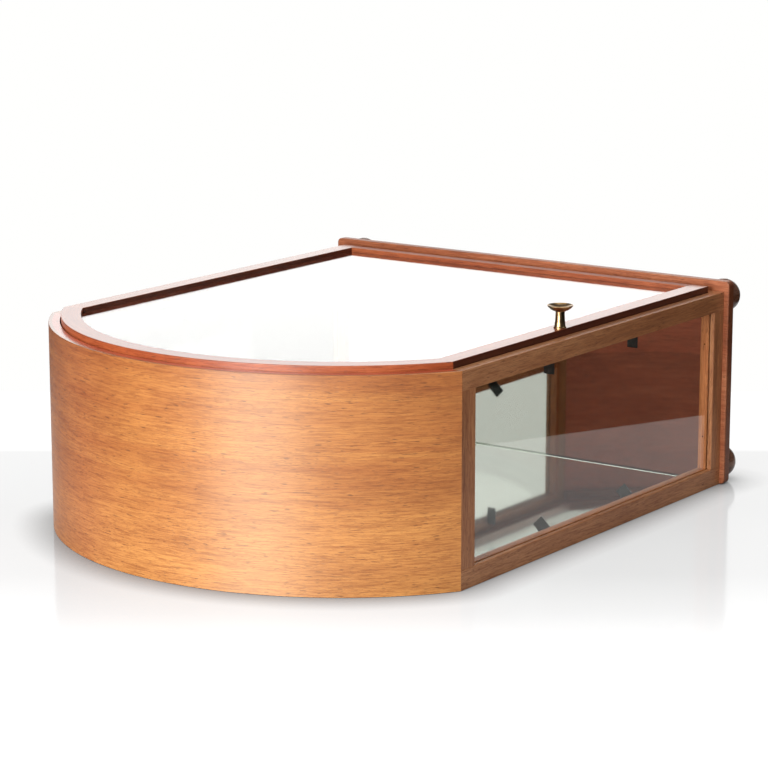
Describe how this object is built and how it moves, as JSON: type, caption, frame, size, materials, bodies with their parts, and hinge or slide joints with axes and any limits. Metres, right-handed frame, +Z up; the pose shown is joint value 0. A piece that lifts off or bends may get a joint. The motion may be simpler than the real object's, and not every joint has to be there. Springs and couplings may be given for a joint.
{
  "type": "glazed display case",
  "caption": "Arched-top wooden display case lying on its back: glazed sides, mirrored back and base, glazed door with a brass knob, base board on bun feet.",
  "frame": {"origin": "centre of the bounding box's underside, on the surface that the case lies on", "axes": "+Y from the arched top to the base board and feet, +Z up through the door, +X towards the side with the knob"},
  "size_m": [0.4096, 0.538, 0.1902],
  "materials": {
    "shell_veneer": "satin lacquered mahogany veneer, grain along the bend",
    "frame_wood": "satin lacquered solid mahogany",
    "door_wood": "satin lacquered solid mahogany",
    "board_wood": "satin lacquered mahogany board",
    "back_board": "plain hardboard",
    "foot_dark": "turned and stained nearly black, polished",
    "clear_glass": "clear 3 mm float glass",
    "mirror": "silvered 3 mm mirror glass",
    "brass": "turned or pressed brass, lightly patinated",
    "dark_metal": "thin steel plate, blackened",
    "steel": "plain steel"
  },
  "bodies": {
    "case": {"arch_door_stop": "frame_wood", "arched_shell": "shell_veneer", "back_mirror": "mirror", "back_panel": "back_board", "back_panel_pins": "steel", "back_shelf_supports": "dark_metal", "base_board": "board_wood", "base_board_screws": "steel", "base_door_stop": "frame_wood", "base_mirror": "mirror", "bead_brads": "brass", "catch_barrel": "brass", "catch_spring": "steel", "end_panel": "frame_wood", "far_base_stile": "frame_wood", "far_bead_base": "frame_wood", "far_bead_bottom": "frame_wood", "far_bead_curve": "frame_wood", "far_bead_top": "frame_wood", "far_bottom_rail": "frame_wood", "far_curve_stile": "frame_wood", "far_side_glass": "clear_glass", "far_top_rail": "frame_wood", "foot_far_back": "foot_dark", "foot_far_front": "foot_dark", "foot_near_back": "foot_dark", "foot_near_front": "foot_dark", "front_shelf_supports": "dark_metal", "hinge_case_leaf_arch_end": "brass", "hinge_case_leaf_base_end": "brass", "hinge_case_screws": "brass", "hinge_pin_arch_end": "brass", "hinge_pin_base_end": "brass", "near_base_stile": "frame_wood", "near_bead_base": "frame_wood", "near_bead_bottom": "frame_wood", "near_bead_curve": "frame_wood", "near_bead_top": "frame_wood", "near_bottom_rail": "frame_wood", "near_curve_stile": "frame_wood", "near_side_glass": "clear_glass", "near_top_rail": "frame_wood"},
    "door": {"door_arched_rail": "door_wood", "door_base_rail": "door_wood", "door_bead_arch": "door_wood", "door_bead_base": "door_wood", "door_bead_far": "door_wood", "door_bead_near": "door_wood", "door_far_stile": "door_wood", "door_glass": "clear_glass", "door_near_stile": "door_wood", "hinge_door_leaf_arch_end": "brass", "hinge_door_leaf_base_end": "brass", "hinge_door_screws": "brass", "knob": "brass", "knob_screw": "steel", "strike_plate": "brass", "strike_screws": "brass"},
    "catch_ball": {"catch_ball": "steel"}
  },
  "joints": [
    {"name": "door_hinge", "type": "hinge", "parent": "case", "child": "door", "pos_m": [-0.1905, 0.015, 0.169], "axis": [0, -1, 0], "range_deg": [0, 130]},
    {"name": "catch_press", "type": "slide", "parent": "case", "child": "catch_ball", "axis": [1, 0, 0], "range_m": [0, 0.00135], "stiffness_N_per_m": 400, "springref_m": -0.002}
  ]
}
